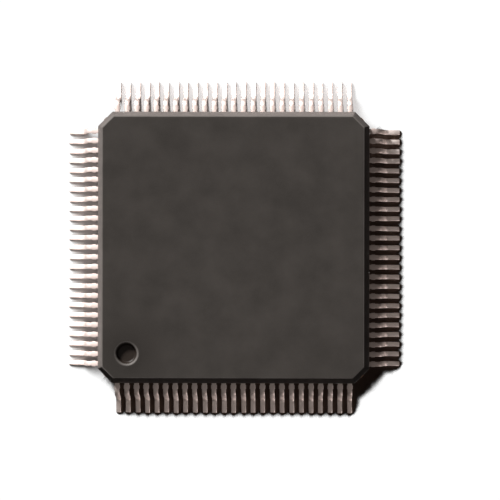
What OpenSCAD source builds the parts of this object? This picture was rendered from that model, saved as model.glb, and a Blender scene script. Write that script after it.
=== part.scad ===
// Integrated circuit in a quad flat package: a moulded epoxy body with gull-wing leads on all four sides.
// Millimetres. The origin is the centre of the seating plane, +Z is up, and pin 1 is at the -X -Y corner.

/* [Leads] */
// Number of leads on each of the four sides
leads_per_side = 25; // [17:2:33]
// Distance between the centre lines of neighbouring leads
lead_pitch = 0.5; // [0.4:0.05:0.65]
// Width of a lead outside the body
lead_width = 0.24; // [0.16:0.01:0.28]
// Thickness of the lead frame sheet
lead_thickness = 0.15; // [0.1:0.01:0.2]
// Distance from the body's side to the tips of the leads
lead_reach = 1.6; // [1.4:0.05:2]
// Straight shoulder between the body's side and the upper bend
shoulder_length = 0.32; // [0.3:0.01:0.5]
// Flat foot beyond the lower bend
foot_length = 0.55; // [0.4:0.01:0.7]
// Inside radius of both bends
bend_radius = 0.2; // [0.1:0.01:0.25]
// Distance from the body's side to the cut dam bar
dam_gap = 0.1; // [0.05:0.01:0.15]
// Length of the stub that the cut dam bar leaves on a lead's edge
dam_length = 0.2; // [0.1:0.01:0.25]
// How far that stub stands out from the lead's edge
dam_stub = 0.03; // [0.01:0.005:0.04]

/* [Body] */
// Distance from the last lead's centre line to the body's side
end_margin = 1; // [0.9:0.05:1.3]
// Thickness of the moulded body
body_thickness = 2.7; // [2:0.1:3.4]
// Height of the body's underside over the seating plane
standoff = 0.25; // [0.1:0.05:0.5]
// Leg of the 45 degree chamfer on each corner
corner_chamfer = 0.75; // [0.4:0.05:0.8]
// Draft of the sides, from the parting line to the top and to the bottom
draft_angle = 12; // [5:1:15]
// Radius of the top and bottom edges
edge_radius = 0.08; // [0.04:0.01:0.15]

/* [Marks in the mould] */
// Diameter of the pin 1 index mark at the top face
index_diameter = 1.3; // [1:0.05:1.5]
// Depth of the index mark
index_depth = 0.3; // [0.2:0.01:0.4]
// Slope of the index mark's wall, from the vertical
index_slope = 15; // [0:5:30]
// Radius of the index mark's rounded rim
index_rim = 0.15; // [0.05:0.01:0.18]
// Distance from the body's sides to the index mark's centre
index_inset = 1.55; // [1.4:0.05:3]
// Diameter of the ejector pin marks under the body
ejector_diameter = 1.5; // [1:0.1:2]
// Depth of the ejector pin marks
ejector_depth = 0.06; // [0.03:0.01:0.1]
// Distance from the body's sides to the ejector pin marks' centres
ejector_inset = 2.6; // [2:0.1:4]

/* [Inside the body] */
// Side of the square silicon die
die_size = 6.4; // [5:0.1:7.5]
// Thickness of the die
die_thickness = 0.38; // [0.25:0.01:0.5]
// Thickness of the die attach adhesive
attach_thickness = 0.03; // [0.02:0.01:0.06]
// Width of the adhesive's border around the die
attach_border = 0.1; // [0.05:0.01:0.2]
// Width of the die pad's border around the die
pad_border = 0.35; // [0.25:0.05:0.6]
// How far the die pad lies below the leads
pad_downset = 0.25; // [0.1:0.05:0.35]
// Width of the tie bars that held the die pad
tie_width = 0.2; // [0.15:0.01:0.3]
// How far the cut tie bars stand out of the corners
tie_stub = 0.02; // [0.01:0.01:0.1]
// Gap between the die pad's edge and the inner tips of the leads
tip_gap = 0.35; // [0.25:0.05:0.6]
// Gap between neighbouring inner tips
tip_clearance = 0.13; // [0.1:0.01:0.14]
// Distance from the last inner tip to the corner of the square of tips
tip_corner = 0.55; // [0.45:0.05:0.7]
// Straight root of a lead inside the body's side
root_length = 0.4; // [0.3:0.05:0.6]

/* [Bond wires] */
// Diameter of the gold bond wires
wire_diameter = 0.03; // [0.02:0.005:0.04]
// Height of a wire's arc over the straight line between its ends
wire_rise = 0.32; // [0.2:0.01:0.4]
// Diameter of the ball that bonds a wire to the die
ball_diameter = 0.08; // [0.06:0.005:0.1]
// Height of that ball
ball_height = 0.02; // [0.015:0.005:0.03]
// Distance from the die's edge to the balls
ball_inset = 0.12; // [0.08:0.01:0.2]
// Distance from the last ball to the die's corner
ball_corner = 0.35; // [0.25:0.05:0.6]
// Distance from a lead's inner tip to the wire's stitch on it
stitch_inset = 0.25; // [0.15:0.05:0.4]

/* [Hidden] */

// Angle about Z of each row of leads, for pins 1 to 25 and on, counter-clockwise from the index mark
south = -90;
east = 0;
north = 90;
west = 180;
sides = [south, east, north, west];

bend_steps = 6;
edge_steps = 4;
wire_facets = 24;
mark_facets = 96;
// Amount by which a cutting shape passes the face that it cuts
over = 0.5;

last_lead = (leads_per_side - 1) / 2;
body_half = last_lead * lead_pitch + end_margin;
body_top = standoff + body_thickness;
frame_mid = standoff + body_thickness / 2;
frame_top = frame_mid + lead_thickness / 2;
frame_bottom = frame_mid - lead_thickness / 2;
tip_end = body_half + lead_reach;

pad_half = die_size / 2 + pad_border;
pad_bottom = frame_bottom - pad_downset;
attach_bottom = pad_bottom + lead_thickness;
die_bottom = attach_bottom + attach_thickness;
die_top = die_bottom + die_thickness;

inner_tip = pad_half + tip_gap;
inner_pitch = (inner_tip - tip_corner) / last_lead;
inner_width = inner_pitch - tip_clearance;
root_start = body_half - root_length;
ball_pitch = (die_size / 2 - ball_corner) / last_lead;

function backwards(list) = [for (i = [len(list) - 1:-1:0]) list[i]];

function arc(centre, radius, from, to, steps) =
    [for (i = [0:steps]) let (a = from + (to - from) * i / steps) centre + radius * [cos(a), sin(a)]];

// One long edge of a lead in plan, from its inner tip to its outer tip. Side is 1 or -1.
function lead_edge(number, side) =
    let (
        y = number * lead_pitch + side * lead_width / 2,
        stub = y + side * dam_stub,
        dam_start = body_half + dam_gap,
        dam_end = dam_start + dam_length
    )
    [
        [inner_tip, number * inner_pitch + side * inner_width / 2],
        [root_start, y],
        [dam_start, y], [dam_start, stub], [dam_end, stub], [dam_end, y],
        [tip_end, y]
    ];

module lead_outlines() {
    for (number = [-last_lead:last_lead])
        polygon(concat(lead_edge(number, -1), backwards(lead_edge(number, 1))));
}

// Side view of the formed sheet: the flat inside the body and the shoulder, the leg and the foot.
module gull_wing_section() {
    outer = bend_radius + lead_thickness;
    upper = [body_half + shoulder_length, frame_bottom - bend_radius];
    lower = [tip_end - foot_length, outer];
    span = lower - upper;
    leg_angle = atan2(-span.y, span.x) + asin((bend_radius + outer) / norm(span));
    polygon(concat(
        [[inner_tip, frame_top]],
        arc(upper, outer, 90, 90 - leg_angle, bend_steps),
        arc(lower, bend_radius, 270 - leg_angle, 270, bend_steps),
        [[tip_end, lead_thickness], [tip_end, 0]],
        arc(lower, outer, 270, 270 - leg_angle, bend_steps),
        arc(upper, bend_radius, 90 - leg_angle, 90, bend_steps),
        [[inner_tip, frame_bottom]]
    ));
}

// The leads of one side: the formed sheet, cut to the outlines.
module lead_row(angle) {
    color("#c9bdb6")
    rotate([0, 0, angle])
    intersection() {
        rotate([90, 0, 0])
            linear_extrude(2 * body_half, center = true)
                gull_wing_section();
        linear_extrude(body_top)
            lead_outlines();
    }
}

// The space that the flat inner part of one row takes up in the body.
module lead_slots(angle) {
    rotate([0, 0, angle])
        translate([0, 0, frame_bottom])
            linear_extrude(lead_thickness)
                lead_outlines();
}

// A tie bar along a diagonal, stepped up from the die pad to the level of the leads.
module tie_bar() {
    step_start = pad_half * sqrt(2) + lead_thickness;
    step_end = step_start + pad_downset;
    bar_end = (2 * body_half - corner_chamfer) / sqrt(2) + tie_stub;
    rotate([90, 0, 0])
        linear_extrude(tie_width, center = true)
            polygon([
                [pad_half, pad_bottom], [step_start, pad_bottom],
                [step_end, frame_bottom], [bar_end, frame_bottom],
                [bar_end, frame_top], [step_end, frame_top],
                [step_start, attach_bottom], [pad_half, attach_bottom]
            ]);
}

module square_plate(half, bottom, thickness) {
    translate([-half, -half, bottom])
        cube([2 * half, 2 * half, thickness]);
}

module die_pad() {
    color("#b87a4b")
    union() {
        square_plate(pad_half, pad_bottom, lead_thickness);
        for (angle = sides)
            rotate([0, 0, angle + 45])
                tie_bar();
    }
}

module die_attach() {
    color("#b9b9b4")
        square_plate(die_size / 2 + attach_border, attach_bottom, attach_thickness);
}

module silicon_die() {
    color("#5b6068")
        square_plate(die_size / 2, die_bottom, die_thickness);
}

// An arc of round wire from the die, at the origin, to a lead that lies distance away along X.
module wire_arc(distance) {
    drop = die_top - frame_top;
    chord = norm([distance, drop]);
    radius = (chord * chord / 4 + wire_rise * wire_rise) / (2 * wire_rise);
    half_angle = acos((radius - wire_rise) / radius);
    end_angle = half_angle + 2 * wire_diameter / radius * 180 / PI;
    translate([0, 0, die_top])
        rotate([0, atan2(drop, distance), 0])
            translate([chord / 2, 0, wire_rise - radius])
                rotate([90, 0, 0])
                    rotate([0, 0, 90 - end_angle])
                        rotate_extrude(angle = 2 * end_angle, $fn = wire_facets * 4)
                            translate([radius, 0])
                                circle(d = wire_diameter, $fn = wire_facets);
}

// A bond wire: a ball on the die, and an arc that is cut off flat where it is stitched to its lead.
module bond_wire(ball, stitch) {
    way = stitch - ball;
    distance = norm(way);
    translate([ball.x, ball.y, 0])
    rotate([0, 0, atan2(way.y, way.x)]) {
        difference() {
            wire_arc(distance);
            translate([-over, -over, die_top - over])
                cube([over + distance / 2, 2 * over, over]);
            translate([distance / 2, -over, frame_top - over])
                cube([over + distance / 2, 2 * over, over]);
        }
        translate([0, 0, die_top])
            cylinder(d = ball_diameter, h = ball_height, $fn = wire_facets);
    }
}

module wire_row(angle) {
    stitch_x = inner_tip + stitch_inset;
    along = stitch_inset / (root_start - inner_tip);
    stitch_pitch = inner_pitch + along * (lead_pitch - inner_pitch);
    color("#d8a93a")
    rotate([0, 0, angle])
        for (number = [-last_lead:last_lead])
            bond_wire(
                [die_size / 2 - ball_inset, number * ball_pitch],
                [stitch_x, number * stitch_pitch]
            );
}

// Plan of the body, moved in from its parting line: a square with chamfered corners.
function body_outline(inset) =
    let (
        half = body_half - inset,
        flat = half - corner_chamfer + inset * (2 - sqrt(2))
    )
    [
        [half, -flat], [half, flat], [flat, half], [-flat, half],
        [-half, flat], [-half, -flat], [-flat, -half], [flat, -half]
    ];

// Height and inset along one drafted half of the body, from the parting line over its rounded edge.
function half_levels(height) =
    let (
        centre_height = height - edge_radius,
        centre_inset = centre_height * tan(draft_angle) + edge_radius / cos(draft_angle)
    )
    concat(
        [[0, 0]],
        [
            for (p = arc([-centre_inset, centre_height], edge_radius, draft_angle, 90, edge_steps))
                [p.y, -p.x]
        ]
    );

// A solid through the body's outlines at the given heights and insets.
module loft(levels) {
    corners = len(body_outline(0));
    last = len(levels) - 1;
    points = [for (level = levels) for (p = body_outline(level[1])) [p.x, p.y, level[0]]];
    walls = [
        for (i = [0:last - 1]) for (j = [0:corners - 1])
            let (next = (j + 1) % corners)
            [(i + 1) * corners + j, (i + 1) * corners + next, i * corners + next, i * corners + j]
    ];
    bottom = [for (j = [0:corners - 1]) j];
    top = [for (j = [corners - 1:-1:0]) last * corners + j];
    polyhedron(points = points, faces = concat([bottom], walls, [top]));
}

module mould_form() {
    loft(concat(
        [for (level = backwards(half_levels(frame_bottom - standoff))) [frame_bottom - level[0], level[1]]],
        [for (level = half_levels(body_top - frame_top)) [frame_top + level[0], level[1]]]
    ));
}

// The dished mark that shows the corner of pin 1: a turned profile of a flat floor, a drafted wall and a
// rounded rim.
module index_mark() {
    place = index_inset - body_half;
    radius = index_diameter / 2;
    rim = arc([radius, -index_rim], index_rim, 180 - index_slope, 90, edge_steps);
    floor_radius = rim[0].x - (rim[0].y + index_depth) * tan(index_slope);
    translate([place, place, body_top])
        rotate_extrude($fn = mark_facets)
            polygon(concat(
                [[0, -index_depth], [floor_radius, -index_depth]],
                rim,
                [[radius, over], [0, over]]
            ));
}

module ejector_marks() {
    place = body_half - ejector_inset;
    for (x = [-place, place], y = [-place, place])
        translate([x, y, standoff - over])
            cylinder(d = ejector_diameter, h = over + ejector_depth, $fn = mark_facets);
}

// The body, moulded around everything that it holds.
module mould_body() {
    color("#45413e")
    difference() {
        mould_form();
        index_mark();
        ejector_marks();
        die_pad();
        die_attach();
        silicon_die();
        for (angle = sides) {
            lead_slots(angle);
            wire_row(angle);
        }
    }
}

mould_body();
lead_row(south);  // leads_south
lead_row(east);  // leads_east
lead_row(north);  // leads_north
lead_row(west);  // leads_west
die_pad();
die_attach();
silicon_die();
wire_row(south);  // wires_south
wire_row(east);  // wires_east
wire_row(north);  // wires_north
wire_row(west);  // wires_west
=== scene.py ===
import math

import bmesh
import bpy
import numpy as np
from mathutils import Matrix, Vector


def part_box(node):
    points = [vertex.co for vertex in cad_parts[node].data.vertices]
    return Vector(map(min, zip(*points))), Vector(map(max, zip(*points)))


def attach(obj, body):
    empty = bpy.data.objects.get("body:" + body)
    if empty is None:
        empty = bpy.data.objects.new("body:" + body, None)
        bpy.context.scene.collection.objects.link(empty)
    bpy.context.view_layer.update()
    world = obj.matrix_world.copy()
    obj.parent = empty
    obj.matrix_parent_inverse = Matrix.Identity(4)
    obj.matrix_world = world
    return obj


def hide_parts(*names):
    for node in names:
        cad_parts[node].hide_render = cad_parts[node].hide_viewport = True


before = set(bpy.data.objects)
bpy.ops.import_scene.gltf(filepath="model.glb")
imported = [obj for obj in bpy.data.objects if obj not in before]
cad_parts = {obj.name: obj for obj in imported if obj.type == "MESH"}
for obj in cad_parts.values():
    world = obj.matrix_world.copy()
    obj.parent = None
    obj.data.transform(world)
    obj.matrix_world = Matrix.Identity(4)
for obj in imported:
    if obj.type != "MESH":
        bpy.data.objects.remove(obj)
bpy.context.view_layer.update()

# Lengths in this script are millimetres, and meshFrom turns them into metres.
perMetre = 1000.0


def millimetres(corner):
    return np.array(corner) * perMetre


bodyLow, bodyHigh = (millimetres(corner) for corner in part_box("mould_body"))
rowLow, rowHigh = (millimetres(corner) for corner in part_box("leads_east"))
print("frame: body", bodyLow, bodyHigh, "row of leads", rowLow, rowHigh)


# Shapes shared by the pieces

def roundedPath(corners, radii, steps):
    # A polyline with an arc at each inner corner: the arc's centre lies on the corner's bisector,
    # radius / sin(half the corner's angle) from the corner.
    corners = np.asarray(corners, float)
    path = [corners[:1]]
    turns = np.linspace(0, 1, steps + 1)[:, None]
    for before, corner, after, radius in zip(corners, corners[1:], corners[2:], radii):
        back = (before - corner) / np.linalg.norm(before - corner)
        onward = (after - corner) / np.linalg.norm(after - corner)
        half = math.acos(np.clip(back @ onward, -1, 1)) / 2
        sweep = math.pi - 2 * half
        bisector = (back + onward) / np.linalg.norm(back + onward)
        centre = corner + bisector * radius / math.sin(half)
        first = corner + back * radius / math.tan(half) - centre
        last = corner + onward * radius / math.tan(half) - centre
        arc = (first * np.sin((1 - turns) * sweep) + last * np.sin(turns * sweep)) / math.sin(sweep)
        path.append(centre + arc)
    path.append(corners[-1:])
    return np.concatenate(path)


def gridQuads(rows, columns, start=0):
    # Quads of a grid whose columns close on themselves.
    row = np.arange(rows - 1)[:, None] * columns
    column = np.arange(columns)[None, :]
    following = (column + 1) % columns
    quads = np.stack([row + column, row + following, row + columns + following, row + columns + column], -1)
    return quads.reshape(-1, 4) + start


def meshFrom(name, grids, marks):
    # Joins closed grids into one mesh, welds points that coincide and turns the faces outwards.
    weldDistance = 1e-5
    sharpAngle = math.radians(40)
    points = np.concatenate([grid.reshape(-1, 3) for grid in grids]) / perMetre
    starts = np.cumsum([0] + [grid.shape[0] * grid.shape[1] for grid in grids])
    quads = [gridQuads(*grid.shape[:2], start) for grid, start in zip(grids, starts)]
    mesh = bpy.data.meshes.new(name)
    mesh.from_pydata(points.tolist(), [], np.concatenate(quads).tolist())
    for title, values in marks.items():
        layer = mesh.attributes.new(title, "FLOAT", "POINT")
        layer.data.foreach_set("value", np.asarray(values, np.float32).ravel())
    shape = bmesh.new()
    shape.from_mesh(mesh)
    bmesh.ops.remove_doubles(shape, verts=shape.verts, dist=weldDistance / perMetre)
    bmesh.ops.recalc_face_normals(shape, faces=shape.faces)
    shape.to_mesh(mesh)
    shape.free()
    mesh.shade_smooth()
    mesh.set_sharp_from_angle(angle=sharpAngle)
    piece = bpy.data.objects.new(name, mesh)
    bpy.context.scene.collection.objects.link(piece)
    return piece


# Shader helpers and effects that several finishes share

def wire(tree, source, target):
    tree.links.new(source, target)


def addNode(tree, kind, settings=None, inputs=None):
    node = tree.nodes.new(kind)
    for name, value in (settings or {}).items():
        setattr(node, name, value)
    for name, value in (inputs or {}).items():
        if isinstance(value, bpy.types.NodeSocket):
            wire(tree, value, node.inputs[name])
        else:
            node.inputs[name].default_value = value
    return node


def newGroup(name, inputs, outputs):
    group = bpy.data.node_groups.new(name, "ShaderNodeTree")
    for title, value in inputs.items():
        socket = group.interface.new_socket(title, in_out="INPUT", socket_type="NodeSocketFloat")
        socket.default_value = value
    for title in outputs:
        group.interface.new_socket(title, in_out="OUTPUT", socket_type="NodeSocketFloat")
    given = group.nodes.new("NodeGroupInput")
    made = group.nodes.new("NodeGroupOutput")
    return group, given.outputs, made.inputs


def surfacePlace(tree):
    # Place on the piece in millimetres, so that feature sizes read as real ones.
    place = addNode(tree, "ShaderNodeTexCoord").outputs["Object"]
    scaled = addNode(tree, "ShaderNodeVectorMath", {"operation": "SCALE"}, {0: place, "Scale": perMetre})
    return scaled.outputs["Vector"]


def maths(tree, operation, first, second):
    return addNode(tree, "ShaderNodeMath", {"operation": operation}, {0: first, 1: second}).outputs["Value"]


def perSize(tree, size):
    return maths(tree, "DIVIDE", 1.0, size)


def noise(tree, place, scale, detail=3.0, roughness=0.55):
    inputs = {"Vector": place, "Scale": scale, "Detail": detail, "Roughness": roughness}
    return addNode(tree, "ShaderNodeTexNoise", None, inputs).outputs["Fac"]


def makeGrainGroup():
    # Two noises: a fine one for the relief and a broad one for the uneven tone.
    inputs = {"Grain Size": 0.08, "Mottle Size": 1.5}
    group, given, made = newGroup("surfaceGrain", inputs, ["Height", "Mottle"])
    place = surfacePlace(group)
    grain = noise(group, place, perSize(group, given["Grain Size"]))
    mottle = noise(group, place, perSize(group, given["Mottle Size"]), detail=4.0)
    wire(group, grain, made["Height"])
    wire(group, mottle, made["Mottle"])
    return group


def makeFleckGroup():
    # Specks: the middles of some cells of a Voronoi pattern, picked by the cell's random colour.
    inputs = {"Cell Size": 0.7, "Fleck Size": 0.05, "Share": 0.2}
    group, given, made = newGroup("dustFlecks", inputs, ["Mask"])
    place = surfacePlace(group)
    scale = perSize(group, given["Cell Size"])
    cells = addNode(group, "ShaderNodeTexVoronoi", None, {"Vector": place, "Scale": scale})
    reach = maths(group, "DIVIDE", given["Fleck Size"], given["Cell Size"])
    near = maths(group, "LESS_THAN", cells.outputs["Distance"], reach)
    draw = addNode(group, "ShaderNodeSeparateColor", None, {"Color": cells.outputs["Color"]})
    picked = maths(group, "LESS_THAN", draw.outputs["Red"], given["Share"])
    wire(group, maths(group, "MULTIPLY", near, picked), made["Mask"])
    return group


grainGroup = makeGrainGroup()
fleckGroup = makeFleckGroup()


def groupNode(tree, group, inputs):
    return addNode(tree, "ShaderNodeGroup", {"node_tree": group}, inputs).outputs


def grainOf(tree, look):
    sizes = {"Grain Size": look["grainSize"], "Mottle Size": look["mottleSize"]}
    return groupNode(tree, grainGroup, sizes)


def mix(tree, kind, share, first, second):
    # The Mix node keeps the sockets of each kind of data in the same list, so they go by number.
    places = {"FLOAT": (2, 3, 0), "RGBA": (6, 7, 2)}
    firstPlace, secondPlace, resultPlace = places[kind]
    inputs = {0: share, firstPlace: first, secondPlace: second}
    return addNode(tree, "ShaderNodeMix", {"data_type": kind}, inputs).outputs[resultPlace]


def mixColor(tree, share, first, second):
    return mix(tree, "RGBA", share, first, second)


def attribute(tree, name):
    return addNode(tree, "ShaderNodeAttribute", {"attribute_name": name}).outputs["Fac"]


def mapRange(tree, value, low, high, fromLow=0.3, fromHigh=0.7):
    # Where no range is given the value is a noise, most of which lies between the two values here.
    inputs = {"Value": value, "From Min": fromLow, "From Max": fromHigh, "To Min": low, "To Max": high}
    return addNode(tree, "ShaderNodeMapRange", None, inputs).outputs["Result"]


def bump(tree, height, strength, depth):
    inputs = {"Height": height, "Strength": strength, "Distance": depth / perMetre}
    return addNode(tree, "ShaderNodeBump", None, inputs).outputs["Normal"]


def newMaterial(name, constants):
    material = bpy.data.materials.new(name)
    material.use_nodes = True
    tree = material.node_tree
    tree.nodes.clear()
    output = tree.nodes.new("ShaderNodeOutputMaterial")
    shader = addNode(tree, "ShaderNodeBsdfPrincipled", None, constants)
    wire(tree, shader.outputs["BSDF"], output.inputs["Surface"])
    return material, tree, shader.inputs


# Finishes

indexInset = 1.55  # from the two sides of the body to the middle of the index mark

mouldFinish = {
    "darkTone": (0.0242, 0.0209, 0.0185, 1),
    "lightTone": (0.0354, 0.0308, 0.0277, 1),
    # The drafted sides are painted paler than the face: painted light for the grazing light and floor
    # bounce that they catch.
    "paintedLitSideDark": (0.098, 0.086, 0.081, 1),
    "paintedLitSideBright": (0.128, 0.114, 0.107, 1),
    "dustTone": (0.13, 0.12, 0.11, 1),
    # Rubbed edges and the index mark's rim are painted lighter: wear, and partly a painted highlight of the
    # light that they catch.
    "wearAndHighlightTone": (0.1, 0.091, 0.085, 1),
    "unevenRange": (0.4, 1.0),
    "wearRoughness": 0.55,
    # The inside of the index mark is painted darker: painted shade of the recess. Its smoothness is the
    # mould's polish.
    "recessShadeTone": (0.0168, 0.0122, 0.0098, 1),
    "polishRoughness": 0.4,
    # The face is painted darker round the index mark: painted shade where the light falls off.
    "falloffShadeTone": (0.0165, 0.0136, 0.0116, 1),
    "falloffShadeReach": (0.7, 2.4),
    "falloffShadeCentre": (bodyLow[0] + indexInset, bodyLow[1] + indexInset, bodyHigh[2]),
    "roughness": (0.74, 0.86),
    "grainSize": 0.07,
    "mottleSize": 1.6,
    "dustCell": 0.9,
    "dustSize": 0.045,
    "dustShare": 0.12,
    "reliefDepth": 0.006,
    "reliefStrength": 0.35,
    "specular": 0.2,
}


def makeMouldEpoxy():
    # Matte filled epoxy: a dark warm grey with an uneven tone, a fine eroded grain and a little dust. Its
    # drafted sides are painted paler, as painted light for the grazing light and floor bounce that they
    # catch.
    # Its rounded edges are rubbed and painted lighter, which is wear and partly a painted highlight. Inside
    # the index mark, where the mould was polished, the skin is smooth and painted darker as painted shade
    # of the recess. Round that mark the face is painted darker, as painted shade where the light falls off.
    look = mouldFinish
    material, tree, shader = newMaterial("mouldEpoxy", {"Specular IOR Level": look["specular"]})
    grain = grainOf(tree, look)
    dust = groupNode(tree, fleckGroup, {
        "Cell Size": look["dustCell"], "Fleck Size": look["dustSize"], "Share": look["dustShare"],
    })
    polishAndShade = attribute(tree, "polishAndShade")
    uneven = mapRange(tree, grain["Mottle"], *look["unevenRange"])
    # Rubbed edges: wear, and partly a painted highlight.
    rubbedAndHighlit = maths(tree, "MULTIPLY", attribute(tree, "wearAndHighlight"), uneven)
    mottle = mapRange(tree, grain["Mottle"], 0, 1)
    # Painted shade: the face darkens towards the index mark.
    apart = addNode(tree, "ShaderNodeVectorMath", {"operation": "DISTANCE"}, {
        0: surfacePlace(tree), 1: look["falloffShadeCentre"],
    })
    close = mapRange(tree, apart.outputs["Value"], 1, 0, *look["falloffShadeReach"])
    falloffShade = maths(tree, "MULTIPLY", close, uneven)
    unshadedTone = mixColor(tree, mottle, look["darkTone"], look["lightTone"])
    faceTone = mixColor(tree, falloffShade, unshadedTone, look["falloffShadeTone"])
    # Painted light: the drafted sides take a paler tone.
    paintedLitSideTone = mixColor(tree, mottle, look["paintedLitSideDark"], look["paintedLitSideBright"])
    tone = mixColor(tree, attribute(tree, "side"), faceTone, paintedLitSideTone)
    dusty = mixColor(tree, dust["Mask"], tone, look["dustTone"])
    wornAndHighlit = mixColor(tree, rubbedAndHighlit, dusty, look["wearAndHighlightTone"])
    # Painted shade: the polished inside of the index mark takes a darker tone.
    wire(tree, mixColor(tree, polishAndShade, wornAndHighlit, look["recessShadeTone"]), shader["Base Color"])
    matte = mapRange(tree, grain["Height"], *look["roughness"])
    smooth = mix(tree, "FLOAT", rubbedAndHighlit, matte, look["wearRoughness"])
    wire(tree, mix(tree, "FLOAT", polishAndShade, smooth, look["polishRoughness"]), shader["Roughness"])
    wire(tree, bump(tree, grain["Height"], look["reliefStrength"], look["reliefDepth"]), shader["Normal"])
    return material


tinFinish = {
    "dullTone": (0.72, 0.61, 0.565, 1),
    "brightTone": (0.86, 0.765, 0.73, 1),
    "copperTone": (0.58, 0.39, 0.3, 1),
    # Painted shade: the leads are painted darker beside the body.
    "besideBodyShadeTone": (0.42, 0.35, 0.325, 1),
    "toneRange": (0.15, 0.55),
    "metallic": 0.75,
    "roughness": (0.4, 0.56),
    "matteRoughness": 0.85,
    "grainSize": 0.05,
    "mottleSize": 0.4,
    "reliefDepth": 0.004,
    "reliefStrength": 0.4,
}


def makeTinPlate():
    # Satin tin: warm grey metal whose tone changes along and between the leads. Painted shade darkens it
    # beside the body, copper shows at the cuts, and a row can be duller than the others.
    look = tinFinish
    material, tree, shader = newMaterial("tinPlate", {"Metallic": look["metallic"]})
    grain = grainOf(tree, look)
    blend = maths(tree, "MULTIPLY", grain["Mottle"], attribute(tree, "leadTone"))
    bright = mapRange(tree, blend, 0, 1, *look["toneRange"])
    plated = mixColor(tree, bright, look["dullTone"], look["brightTone"])
    # Painted shade beside the body.
    shadedBesideBody = mixColor(tree, attribute(tree, "besideBodyShade"), plated, look["besideBodyShadeTone"])
    tone = mixColor(tree, attribute(tree, "bareCut"), shadedBesideBody, look["copperTone"])
    wire(tree, tone, shader["Base Color"])
    satin = mapRange(tree, grain["Mottle"], *look["roughness"])
    matte = mix(tree, "FLOAT", attribute(tree, "matte"), satin, look["matteRoughness"])
    wire(tree, matte, shader["Roughness"])
    wire(tree, bump(tree, grain["Height"], look["reliefStrength"], look["reliefDepth"]), shader["Normal"])
    return material


innerReliefStrength = 0.4
innerFinishes = {
    "copperAlloy": {
        "tones": ((0.42, 0.24, 0.15, 1), (0.58, 0.36, 0.25, 1)),
        "roughness": (0.3, 0.45), "metallic": 1.0,
        "grainSize": 0.06, "mottleSize": 0.8, "reliefDepth": 0.002,
    },
    "silverEpoxy": {
        "tones": ((0.38, 0.38, 0.36, 1), (0.52, 0.52, 0.5, 1)),
        "roughness": (0.45, 0.65), "metallic": 0.4,
        "grainSize": 0.03, "mottleSize": 0.3, "reliefDepth": 0.003,
    },
    "polishedSilicon": {
        "tones": ((0.075, 0.085, 0.1, 1), (0.1, 0.105, 0.13, 1)),
        "roughness": (0.1, 0.18), "metallic": 0.6,
        "grainSize": 0.1, "mottleSize": 1.2, "reliefDepth": 0.0005,
    },
    "drawnGold": {
        "tones": ((0.72, 0.45, 0.12, 1), (0.86, 0.58, 0.2, 1)),
        "roughness": (0.15, 0.25), "metallic": 1.0,
        "grainSize": 0.02, "mottleSize": 0.2, "reliefDepth": 0.0005,
    },
}


def makeInnerFinish(name):
    # The moulded-in pieces: one tone that varies slightly, with grain in its sheen and relief.
    look = innerFinishes[name]
    material, tree, shader = newMaterial(name, {"Metallic": look["metallic"]})
    grain = grainOf(tree, look)
    mottle = mapRange(tree, grain["Mottle"], 0, 1)
    wire(tree, mixColor(tree, mottle, *look["tones"]), shader["Base Color"])
    wire(tree, mapRange(tree, grain["Height"], *look["roughness"]), shader["Roughness"])
    wire(tree, bump(tree, grain["Height"], innerReliefStrength, look["reliefDepth"]), shader["Normal"])
    return material


mouldEpoxy = makeMouldEpoxy()
tinPlate = makeTinPlate()
innerMaterials = {name: makeInnerFinish(name) for name in innerFinishes}
print("finishes made:", len(bpy.data.materials))


# Moulded body

body = {
    "half": bodyHigh[0],
    "top": bodyHigh[2],
    "bottom": bodyLow[2],
    "partingTop": rowHigh[2],
    "partingDepth": 0.15,
    "chamfer": 0.75,
    "draft": math.radians(12),
    "edgeRadius": 0.08,
    "cornerRadius": 0.1,
    "sideSteps": 64,
    "chamferSteps": 4,
    "turnSteps": 4,
    "edgeSteps": 6,
    "faceShares": [0, 0.01, 0.2, 0.4, 0.6, 0.8, 0.94, 1],
    "indexSteps": 8,
    "ejectorSteps": 4,
    "indexInset": indexInset,
    "indexRadius": 0.65,
    "indexDepth": 0.3,
    "indexSlope": math.radians(15),
    "indexRim": 0.15,
    "indexFillet": 0.08,
    "ejectorInset": 2.6,
    "ejectorRadius": 0.75,
    "ejectorDepth": 0.06,
    "ejectorLip": 0.02,
    "apron": 0.15,
    "polishAndShadeFrom": 0.7,
    "support": 0.02,
}


# The plan is an octagon: its even sides are the body's long ones and its odd sides are the chamfers.
planSides = 8
sideTurn = math.radians(360 / planSides)


def outlineTemplate():
    # For each outline point: the corners that it lies between, its share of the way and its normal's angle.
    rows = []
    for side in range(planSides):
        steps = body["sideSteps"] if side % 2 == 0 else body["chamferSteps"]
        before = np.full(steps - 1, (side - 1) % planSides)
        share = np.arange(1, steps) / steps
        normal = np.full(steps - 1, sideTurn * side)
        rows.append(np.stack([before, np.full(steps - 1, side), share, normal]))
        turn = sideTurn * (side + np.linspace(0, 1, body["turnSteps"] + 1))
        at = np.full(body["turnSteps"] + 1, side)
        rows.append(np.stack([at, at, np.zeros(body["turnSteps"] + 1), turn]))
    first, last, share, angle = np.concatenate(rows, 1)
    return first.astype(int), last.astype(int), share, angle


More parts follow.
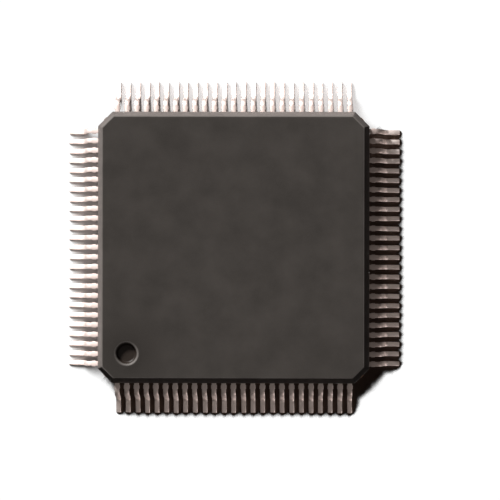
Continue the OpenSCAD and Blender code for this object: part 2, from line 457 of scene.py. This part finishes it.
def bodyOutline(inset):
    # Plan of the body moved in by inset, for an array of insets: eight straight sides, and at each
    # corner an arc about the corner of the same octagon moved in by the corner radius as well.
    radius = body["cornerRadius"]
    sides = np.arange(planSides)
    chamferReach = (2 * body["half"] - body["chamfer"]) / math.sqrt(2)
    reach = np.where(sides % 2 == 0, body["half"], chamferReach)
    distance = reach - (np.asarray(inset, float)[:, None] + radius)
    following = np.roll(distance, -1, 1)
    normals = sideTurn * sides
    ahead = np.roll(normals, -1)
    crossing = math.sin(sideTurn)
    cornerX = (distance * np.sin(ahead) - following * np.sin(normals)) / crossing
    cornerY = (following * np.cos(normals) - distance * np.cos(ahead)) / crossing
    corners = np.stack([cornerX, cornerY], -1)
    first, last, share, angle = outlineTemplate()
    turn = radius * np.stack([np.cos(angle), np.sin(angle)], -1)
    straight = corners[:, first] * (1 - share[:, None]) + corners[:, last] * share[:, None]
    return straight + turn


def sideProfile(height):
    # Inset and height over the parting line along one drafted half, over its rounded edge to the flat. A
    # point just below the edge keeps the shading of the side flat.
    flat = height * math.tan(body["draft"])
    corners = [(0, 0), (flat, height), (flat + body["edgeRadius"], height)]
    path = roundedPath(corners, [body["edgeRadius"]], body["edgeSteps"])
    below = path[1] - body["support"] * np.array([math.sin(body["draft"]), math.cos(body["draft"])])
    return np.concatenate([path[:1], [below], path[1:-1]])


def edgeWearAndHighlight(steps):
    # How rubbed a rounded edge is, and so how much it is painted lighter as wear and partly as a painted
    # highlight: four times the share of the turn times what is left of it.
    share = np.linspace(0, 1, steps + 1)
    return 4 * share * (1 - share)


def overRows(values, grid):
    # One value for each row of a grid, repeated along the row.
    return np.broadcast_to(np.asarray(values, float)[:, None], grid.shape[:2])


def patch(loop, level, centre, profile):
    # A flat face with a round recess: the face's border shrinks to a circle round the recess's centre,
    # and the recess's profile of radius and height is turned about that centre down to a pole.
    away = loop - centre
    ray = away / np.linalg.norm(away, axis=1)[:, None]
    rim = centre + ray * profile[0, 0]
    share = np.array(body["faceShares"])[:, None, None]
    face = loop * (1 - share) + rim * share
    recess = centre + ray * profile[1:, 0, None, None]
    plan = np.concatenate([face, recess])
    rise = np.concatenate([np.zeros(len(share)), profile[1:, 1]])
    heights = np.broadcast_to((level + rise)[:, None, None], plan.shape[:2] + (1,))
    return np.concatenate([plan, heights], -1)


def indexDish():
    # Radius and height along the index mark, from the flat face round it to its pole. The rim's arc takes
    # up its radius times the tangent of half its turn on either side of the corner.
    rim = body["indexRim"]
    corner = body["indexRadius"] - rim * math.tan((math.pi / 2 - body["indexSlope"]) / 2)
    dishFloor = corner - body["indexDepth"] * math.tan(body["indexSlope"])
    corners = [
        (body["indexRadius"] + body["apron"], 0), (corner, 0),
        (dishFloor, -body["indexDepth"]), (0, -body["indexDepth"]),
    ]
    return roundedPath(corners, [rim, body["indexFillet"]], body["indexSteps"])


def ejectorPit():
    # Radius and height along an ejector pin mark, from the flat underside round it to its pole.
    radius = body["ejectorRadius"]
    depth = body["ejectorDepth"]
    corners = [(radius + body["apron"], 0), (radius, 0), (radius, depth), (0, depth)]
    return roundedPath(corners, [body["ejectorLip"], body["ejectorLip"]], body["ejectorSteps"])


def undersideQuarters(border):
    # Four quarters, each with an ejector pin mark. A quarter's loop follows the border from the middle of
    # one long side to the middle of the next, then goes in to the centre and out again.
    middles = []
    for turn in np.radians([0, 90, 180, 270]):
        along = border @ np.array([math.cos(turn), math.sin(turn)])
        aside = border @ np.array([-math.sin(turn), math.cos(turn)])
        middles.append(int(np.argmax(along - abs(aside))))
    share = np.linspace(0, 1, body["sideSteps"] // 2 + 1)[1:-1, None]
    pinPlace = body["half"] - body["ejectorInset"]
    pit = ejectorPit()
    quarters = []
    for number, corner in enumerate([(1, 1), (-1, 1), (-1, -1), (1, -1)]):
        start = middles[number]
        length = (middles[(number + 1) % 4] - start) % len(border) + 1
        edge = border[(start + np.arange(length)) % len(border)]
        inward = edge[-1] * (1 - share)
        outward = edge[0] * share
        loop = np.concatenate([edge, inward, np.zeros((1, 2)), outward])
        quarters.append(patch(loop, body["bottom"], pinPlace * np.array(corner), pit))
    return quarters


def makeBody():
    # The wall is the outline carried up both drafted halves. The top face, with the dished index mark near
    # the corner of pin 1, and the quarters of the underside close it.
    upper = body["partingTop"]
    lower = body["partingTop"] - body["partingDepth"]
    topSide = sideProfile(body["top"] - upper)
    bottomSide = sideProfile(lower - body["bottom"])[::-1]
    insets = np.concatenate([bottomSide[:, 0], topSide[:, 0]])
    heights = np.concatenate([lower - bottomSide[:, 1], upper + topSide[:, 1]])
    plan = bodyOutline(insets)
    wall = np.concatenate([plan, np.broadcast_to(heights[:, None, None], plan.shape[:2] + (1,))], -1)
    indexCentre = np.full(2, body["indexInset"] - body["half"])
    top = patch(plan[-1], body["top"], indexCentre, indexDish())
    quarters = undersideQuarters(plan[0])

    # Marks for the finish: the polished inside of the index mark, which is also painted darker as painted
    # shade, rubbed edges that are also painted lighter as a painted highlight, and sides painted paler as
    # painted light.
    rimDrop = body["indexRim"] * (1 - math.sin(body["indexSlope"]))
    polishAndShade = [np.zeros(wall.shape[:2]), body["top"] - top[..., 2] > body["polishAndShadeFrom"] * rimDrop]
    edge = edgeWearAndHighlight(body["edgeSteps"])
    sides = len(wall) - 2 * len(edge)
    wallWearAndHighlight = np.concatenate([edge, np.zeros(sides), edge])
    topWearAndHighlight = np.zeros(len(top))
    rimStart = len(body["faceShares"])
    topWearAndHighlight[rimStart:rimStart + body["indexSteps"] + 1] = edgeWearAndHighlight(body["indexSteps"])
    wearAndHighlight = [overRows(wallWearAndHighlight, wall), overRows(topWearAndHighlight, top)]
    # The paler tone of the sides is painted light; it fades in over the rounded edges.
    paintedLitRamp = np.linspace(0, 1, len(edge))
    side = [overRows(np.concatenate([paintedLitRamp, np.ones(sides), paintedLitRamp[::-1]]), wall), np.zeros(top.shape[:2])]
    plain = [np.zeros(quarter.shape[:2]) for quarter in quarters]
    marks = {
        title: np.concatenate([mask.ravel() for mask in masks + plain])
        for title, masks in {"polishAndShade": polishAndShade, "wearAndHighlight": wearAndHighlight, "side": side}.items()
    }
    piece = meshFrom("mouldBody", [wall, top] + quarters, marks)
    piece.data.materials.append(mouldEpoxy)
    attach(piece, "root")
    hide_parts("mould_body")
    return piece


mouldBody = makeBody()
print("moulded body made:", len(mouldBody.data.polygons), "faces")


# Gull-wing leads

leads = {
    "count": 25,
    "pitch": 0.5,
    "width": 0.24,
    "thickness": 0.15,
    "innerTip": rowLow[0],
    "tipEnd": rowHigh[0],
    "frameTop": rowHigh[2],
    "tipCorner": 0.55,
    "tipClearance": 0.13,
    "rootLength": 0.4,
    "shoulder": 0.32,
    "foot": 0.55,
    "bendRadius": 0.2,
    "bendSteps": 7,
    "damGap": 0.1,
    "damLength": 0.2,
    "damStub": 0.03,
    "damRamp": 0.012,
    "edgeRadius": 0.032,
    "endRadius": 0.022,
    "endBlend": 0.3,
    "levelTolerance": 1e-6,
    # Painted shade beside the body: where it starts and ends along the lead, and how strong it is on each
    # row.
    "besideBodyShadeStart": 0.45,
    "besideBodyShadeEnd": 0.8,
    "besideBodyShadeShare": {"leads_south": 0.5, "leads_east": 1.0, "leads_north": 1.0, "leads_west": 0.7},
    "matteShare": {"leads_south": 0.0, "leads_east": 0.0, "leads_north": 0.0, "leads_west": 0.6},
    "shortest": 0.03,
    "skew": 0.02,
    "toneSpread": 0.25,
    "seed": 7,
}

# Worked out from those: the inner tips fill a side of the square round the die pad, less its corners.
farthest = (leads["count"] - 1) / 2
innerPitch = (leads["innerTip"] - leads["tipCorner"]) / farthest
innerWidth = innerPitch - leads["tipClearance"]
rootStart = body["half"] - leads["rootLength"]
damStart = body["half"] + leads["damGap"]
damEnd = damStart + leads["damLength"]


def leadPath():
    # Middle line of the formed sheet in side view: flat, bend, leg, bend and foot. The leg's angle is
    # the slope between the two bends' centres plus the angle of their inner tangent.
    middle = leads["bendRadius"] + leads["thickness"] / 2
    level = leads["frameTop"] - leads["thickness"] / 2
    shoulderEnd = body["half"] + leads["shoulder"]
    footStart = leads["tipEnd"] - leads["foot"]
    span = np.array([footStart - shoulderEnd, level - leads["thickness"] / 2 - 2 * middle])
    angle = math.atan2(span[1], span[0]) + math.asin(2 * middle / np.linalg.norm(span))
    reach = middle * math.tan(angle / 2)
    corners = [
        (leads["innerTip"], level), (shoulderEnd + reach, level),
        (footStart - reach, leads["thickness"] / 2), (leads["tipEnd"], leads["thickness"] / 2),
    ]
    return roundedPath(corners, [middle, middle], leads["bendSteps"])


def cutPath(path, places):
    # Adds points on the flat run where the lead's width changes, given by their distance out.
    rows = np.stack([np.asarray(places), np.full(len(places), path[0, 1])], -1)
    joined = np.concatenate([path, rows])
    flat = joined[:, 1] > path[0, 1] - leads["levelTolerance"]
    flatRows = joined[flat]
    return np.concatenate([flatRows[np.argsort(flatRows[:, 0])], joined[~flat]])


def leadRings():
    # Middles of the rings along a lead, and how far each ring's section shrinks. Both ends are rounded: the
    # section shrinks over the end radius, and the last ring is left to close to a pole.
    ramp = leads["damRamp"]
    path = cutPath(leadPath(), [rootStart, damStart, damStart + ramp, damEnd - ramp, damEnd])
    end = leads["endRadius"]
    blend = leads["endBlend"] * end
    inner = path[0] + np.array([[0, 0], [0, 0], [blend, 0], [end, 0]])
    tips = path[-1] - np.array([[end, 0], [blend, 0], [0, 0], [0, 0]])
    path = np.concatenate([inner, path[1:-1], tips])
    shrink = np.zeros(len(path))
    shrink[[1, 2, -3, -2]] = [end, blend, blend, end]
    return path, shrink


def leadSection(width, shrink):
    # Offsets across a lead and along its normal for each ring: a rectangle with rounded edges, three points
    # to an edge. The first and last rings close to a pole.
    edge = leads["edgeRadius"]
    corner = np.repeat([[1, 1], [-1, 1], [-1, -1], [1, -1]], 3, axis=0)
    turn = np.radians([0, 45, 90, 90, 135, 180, 180, 225, 270, 270, 315, 360])
    halfWidth = (width / 2 - shrink - edge)[:, None]
    halfDepth = (leads["thickness"] / 2 - shrink - edge)[:, None]
    across = corner[:, 0] * halfWidth + edge * np.cos(turn)
    rise = corner[:, 1] * halfDepth + edge * np.sin(turn)
    across[[0, -1]] = 0
    rise[[0, -1]] = 0
    return across, rise


def makeLeadRow(node, angle, seed):
    # A row of leads as one array over leads, rings and section points: the section is carried along the
    # path, and each lead stands at its number times the pitch.
    rng = np.random.default_rng(seed)
    number = np.arange(leads["count"]) - farthest
    path, shrink = leadRings()
    tangent = np.gradient(path, axis=0)
    tangent[[0, 1, -2, -1]] = [1, 0]
    tangent /= np.linalg.norm(tangent, axis=1)[:, None]
    normal = np.stack([-tangent[:, 1], tangent[:, 0]], -1)

    # Width along the lead: narrow inner tip, full width outside, and stubs of the cut dam bar.
    out = path[:, 0]
    ramp = leads["damRamp"]
    inside = np.clip((out - leads["innerTip"]) / (rootStart - leads["innerTip"]), 0, 1)
    level = path[:, 1] > leads["frameTop"] - leads["thickness"]
    stub = np.clip((out - damStart) / ramp, 0, 1) * np.clip((damEnd - out) / ramp, 0, 1) * level
    width = innerWidth + (leads["width"] - innerWidth) * inside + 2 * leads["damStub"] * stub
    pitch = innerPitch + (leads["pitch"] - innerPitch) * inside
    across, rise = leadSection(width, shrink)

    # Small differences between leads, from trimming and handling.
    outside = np.clip((out - body["half"]) / (leads["tipEnd"] - body["half"]), 0, 1)
    shortfall = leads["shortest"] * rng.random(leads["count"])
    skew = leads["skew"] * rng.uniform(-1, 1, leads["count"])
    tone = 1 + leads["toneSpread"] * rng.uniform(-1, 1, leads["count"])
    foot = np.clip((out - (leads["tipEnd"] - leads["foot"])) / leads["foot"], 0, 1) * ~level
    x = out - shortfall[:, None] * foot
    x = x[:, :, None] + normal[:, 0, None] * rise
    z = np.broadcast_to(path[:, 1, None] + normal[:, 1, None] * rise, x.shape)
    y = number[:, None] * pitch + skew[:, None] * outside
    y = y[:, :, None] + across
    cosine, sine = math.cos(angle), math.sin(angle)
    grid = np.stack([x * cosine - y * sine, x * sine + y * cosine, z], -1)

    # Marks for the finish: bare copper at the cut ends, each lead's tone, painted shade beside the body and
    # dullness.
    cutEnd = np.zeros(len(path))
    cutEnd[[0, 1, -2, -1]] = 1
    bare = np.broadcast_to(cutEnd[None, :, None], x.shape)
    tones = np.broadcast_to(tone[:, None, None], x.shape)
    # Painted shade along each lead, darkest beside the body.
    beyond = (out - body["half"] - leads["besideBodyShadeStart"]) / (leads["besideBodyShadeEnd"] - leads["besideBodyShadeStart"])
    shadeAlong = leads["besideBodyShadeShare"][node] * (1 - np.clip(beyond, 0, 1))
    besideBodyShade = np.broadcast_to(shadeAlong[:, None], x.shape)
    matte = np.full(x.shape, leads["matteShare"][node])
    marks = {"bareCut": bare, "leadTone": tones, "besideBodyShade": besideBodyShade, "matte": matte}
    piece = meshFrom(node.replace("_", "-"), list(grid), marks)
    piece.data.materials.append(tinPlate)
    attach(piece, "root")
    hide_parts(node)
    return piece


rowBearings = {"leads_south": -90, "leads_east": 0, "leads_north": 90, "leads_west": 180}
leadRows = {}
for step, (node, bearing) in enumerate(rowBearings.items()):
    leadRows[node] = makeLeadRow(node, math.radians(bearing), leads["seed"] + step)
    print("row of leads made:", leadRows[node].name, len(leadRows[node].data.polygons), "faces")


# Pieces inside the body keep their solids and get a finish

innerPieces = {
    "die_pad": "copperAlloy",
    "die_attach": "silverEpoxy",
    "silicon_die": "polishedSilicon",
    "wires_south": "drawnGold",
    "wires_east": "drawnGold",
    "wires_north": "drawnGold",
    "wires_west": "drawnGold",
}
for node, finish in innerPieces.items():
    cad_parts[node].data.materials.clear()
    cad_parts[node].data.materials.append(innerMaterials[finish])
print("inner pieces finished:", len(innerPieces))


# Floor, light and camera

# The floor is in wedges between two bearings in degrees, because the light falls on each in another way.
stage = {
    "floorRadius": 2000,
    "wedges": {"floorNorth": (40, 135), "floorWest": (135, 225), "floorShaded": (225, 400)},
    "wedgeSteps": 9,
    "floorTone": {
        "floorNorth": (0.3, 0.3, 0.3, 1),
        "floorWest": (0.3, 0.3, 0.3, 1),
        # The shaded wedge is painted darker and warmer: painted shade on the side away from the key light.
        "floorShaded": (0.12, 0.09, 0.075, 1),
    },
    "floorGlow": 1.05,
    "contactReach": 1.7,
    "contactFrom": (135, 35),
    "contactRays": 64,
    "contactShade": {"floorNorth": (0.69, 0.79), "floorWest": (0.64, 0.8), "floorShaded": (0.73, 0.79)},
    "backdropTone": (1, 1, 1, 1),
    "ambientTone": (1.0, 0.97, 0.95, 1),
    "ambientStrength": 0.01,
}

# Distant soft lamps: bearing from +X, height and spread in degrees. The north and west lights brighten the
# rows that face the key light, and each skim lights the wedge of floor in front of its row. The bounce
# stands for light that a bright floor sends up at the leads, so it casts no shadow.
lamps = {
    "keyLight": {"bearing": 124, "height": 28, "spread": 12, "strength": 8.6, "tone": (1, 0.985, 0.97)},
    "skyLight": {"bearing": 0, "height": 90, "spread": 110, "strength": 0.48, "tone": (1, 0.93, 0.88)},
    "northLight": {"bearing": 130, "height": 54, "spread": 30, "strength": 5, "tone": (1, 0.97, 0.96)},
    "westLight": {"bearing": 130, "height": 54, "spread": 30, "strength": 3, "tone": (1, 0.97, 0.96)},
    "floorBounce": {"bearing": 315, "height": -12, "spread": 50, "strength": 2.4, "tone": (1, 0.91, 0.87)},
    "underLight": {"bearing": 0, "height": -90, "spread": 20, "strength": 7, "tone": (1, 0.97, 0.95)},
    "northSkim": {"bearing": 95, "height": 32, "spread": 8, "strength": 12.5, "tone": (1, 0.97, 0.96)},
    "westSkim": {"bearing": 177, "height": 42, "spread": 10, "strength": 0.8, "tone": (1, 0.93, 0.9)},
}

# The groups of pieces that each lamp lights. It is made once for each of them, because the renderer picks
# lamps well only where no two lamps light groups that overlap in part.
reaches = {
    "keyLight": ["body", "shadedRows", "northRow", "westRow", "inside"],
    "skyLight": ["body", "shadedRows", "northRow", "westRow", "inside"],
    "northLight": ["northRow"],
    "westLight": ["westRow"],
    "floorBounce": ["shadedRows", "northRow", "westRow"],
    "underLight": ["body"],
    "northSkim": ["floorNorth"],
    "westSkim": ["floorWest"],
}
shadeless = ["floorBounce"]


def towards(bearing, height):
    # Direction of a place in the sky, from its bearing and height in degrees.
    level = math.cos(math.radians(height))
    turn = math.radians(bearing)
    return Vector((math.cos(turn) * level, math.sin(turn) * level, math.sin(math.radians(height))))


def addLamp(name, group, pieces):
    # A lamp that lights only the pieces of one group.
    look = lamps[name]
    title = name + group[0].upper() + group[1:]
    lamp = bpy.data.objects.new(title, bpy.data.lights.new(title, "SUN"))
    lamp.data.energy = look["strength"]
    lamp.data.angle = math.radians(look["spread"])
    lamp.data.color = look["tone"]
    lamp.data.use_shadow = name not in shadeless
    lamp.rotation_mode = "QUATERNION"
    lamp.rotation_quaternion = towards(look["bearing"], look["height"]).to_track_quat("Z", "Y")
    bpy.context.scene.collection.objects.link(lamp)
    lit = bpy.data.collections.new(title + "Lit")
    for piece in pieces:
        lit.objects.link(piece)
    for entry in lit.collection_objects:
        entry.light_linking.link_state = "INCLUDE"
    lamp.light_linking.receiver_collection = lit


def makeFloorFinish(name):
    # A pale floor that glows evenly in the open. Close to the part an occlusion test, leaning towards the
    # key light, turns the glow into a floor lit only by the lamps, and so paints a soft contact shadow
    # there. Seen from underneath it is clear, so that the part's underside shows.
    material = bpy.data.materials.new(name)
    material.use_nodes = True
    tree = material.node_tree
    tree.nodes.clear()
    reach = stage["contactReach"] / perMetre
    # Painted contact shadow: an occlusion test leaning towards the key light.
    source = addNode(tree, "ShaderNodeCombineXYZ", None, dict(zip("XYZ", towards(*stage["contactFrom"]))))
    near = addNode(tree, "ShaderNodeAmbientOcclusion", {"samples": stage["contactRays"]}, {
        "Distance": reach, "Normal": source.outputs["Vector"],
    }).outputs["AO"]
    openShare = mapRange(tree, near, 0, 1, *stage["contactShade"][name])
    shaded = addNode(tree, "ShaderNodeBsdfDiffuse", None, {"Color": stage["floorTone"][name]})
    glow = addNode(tree, "ShaderNodeEmission", None, {"Strength": stage["floorGlow"]})
    upper = addNode(tree, "ShaderNodeMixShader", None, {
        "Fac": openShare, 1: shaded.outputs["BSDF"], 2: glow.outputs["Emission"],
    })
    under = addNode(tree, "ShaderNodeNewGeometry").outputs["Backfacing"]
    clear = addNode(tree, "ShaderNodeBsdfTransparent")
    seen = addNode(tree, "ShaderNodeMixShader", None, {
        "Fac": under, 1: upper.outputs["Shader"], 2: clear.outputs["BSDF"],
    })
    output = tree.nodes.new("ShaderNodeOutputMaterial")
    wire(tree, seen.outputs["Shader"], output.inputs["Surface"])
    return material


def makeFloors():
    # Wedges that meet under the part: each is its tip and an arc of points between two bearings.
    floors = {}
    radius = stage["floorRadius"] / perMetre
    for name, (first, last) in stage["wedges"].items():
        turn = np.radians(np.linspace(first, last, stage["wedgeSteps"]))
        arc = radius * np.stack([np.cos(turn), np.sin(turn), np.zeros(len(turn))], -1)
        mesh = bpy.data.meshes.new(name)
        mesh.from_pydata([(0, 0, 0)] + arc.tolist(), [], [range(len(arc) + 1)])
        mesh.materials.append(makeFloorFinish(name))
        floor = bpy.data.objects.new(name, mesh)
        bpy.context.scene.collection.objects.link(floor)
        floor.visible_diffuse = False
        floor.visible_glossy = False
        floor.visible_shadow = False
        floors[name] = floor
    return floors


def makeWorld():
    # A weak ambient light, and a pale backdrop where the camera looks past the floor. It is even all round,
    # so it isn't picked as a lamp.
    world = bpy.data.worlds.new("studio")
    world.use_nodes = True
    world.cycles.sampling_method = "NONE"
    tree = world.node_tree
    tree.nodes.clear()
    ambient = addNode(tree, "ShaderNodeBackground", None, {
        "Color": stage["ambientTone"], "Strength": stage["ambientStrength"],
    })
    backdrop = addNode(tree, "ShaderNodeBackground", None, {"Color": stage["backdropTone"]})
    seen = addNode(tree, "ShaderNodeLightPath").outputs["Is Camera Ray"]
    both = addNode(tree, "ShaderNodeMixShader", None, {
        "Fac": seen, 1: ambient.outputs["Background"], 2: backdrop.outputs["Background"],
    })
    output = tree.nodes.new("ShaderNodeOutputWorld")
    wire(tree, both.outputs["Shader"], output.inputs["Surface"])
    bpy.context.scene.world = world


def makeStage():
    floors = makeFloors()
    groups = {
        "body": [mouldBody],
        "shadedRows": [leadRows["leads_south"], leadRows["leads_east"]],
        "northRow": [leadRows["leads_north"]],
        "westRow": [leadRows["leads_west"]],
        "inside": [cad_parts[node] for node in innerPieces],
    }
    groups.update({title: [floor] for title, floor in floors.items()})
    for name, reach in reaches.items():
        for group in reach:
            addLamp(name, group, groups[group])
    makeWorld()
    bpy.context.scene.view_settings.view_transform = "Standard"


camera = {
    "tiltEast": math.radians(0.85),
    "tiltSouth": math.radians(0.2),
    "roll": math.radians(-0.1),
    "target": (0.823, -0.125, 0.0),
    "distance": 180,
    "pixelsAcross": 500,
    "focalPixels": 3460,
    "sensorWidth": 36,
    "clipStart": 1,
    "clipEnd": 10000,
}


def makeCamera():
    # The camera looks down at the target, leaning out a little to the east and south.
    lens = bpy.data.cameras.new("camera")
    lens.sensor_width = camera["sensorWidth"]
    lens.lens = camera["focalPixels"] * camera["sensorWidth"] / camera["pixelsAcross"]
    lens.clip_start = camera["clipStart"] / perMetre
    lens.clip_end = camera["clipEnd"] / perMetre
    back = Vector((math.tan(camera["tiltEast"]), -math.tan(camera["tiltSouth"]), 1)).normalized()
    up = Vector((math.sin(camera["roll"]), math.cos(camera["roll"]), 0))
    right = up.cross(back).normalized()
    up = back.cross(right)
    place = (Vector(camera["target"]) + back * camera["distance"]) / perMetre
    turn = Matrix((right, up, back)).transposed().to_4x4()
    holder = bpy.data.objects.new("camera", lens)
    holder.matrix_world = Matrix.Translation(place) @ turn
    bpy.context.scene.collection.objects.link(holder)
    bpy.context.scene.camera = holder


makeStage()
makeCamera()
print("stage, light and camera made")
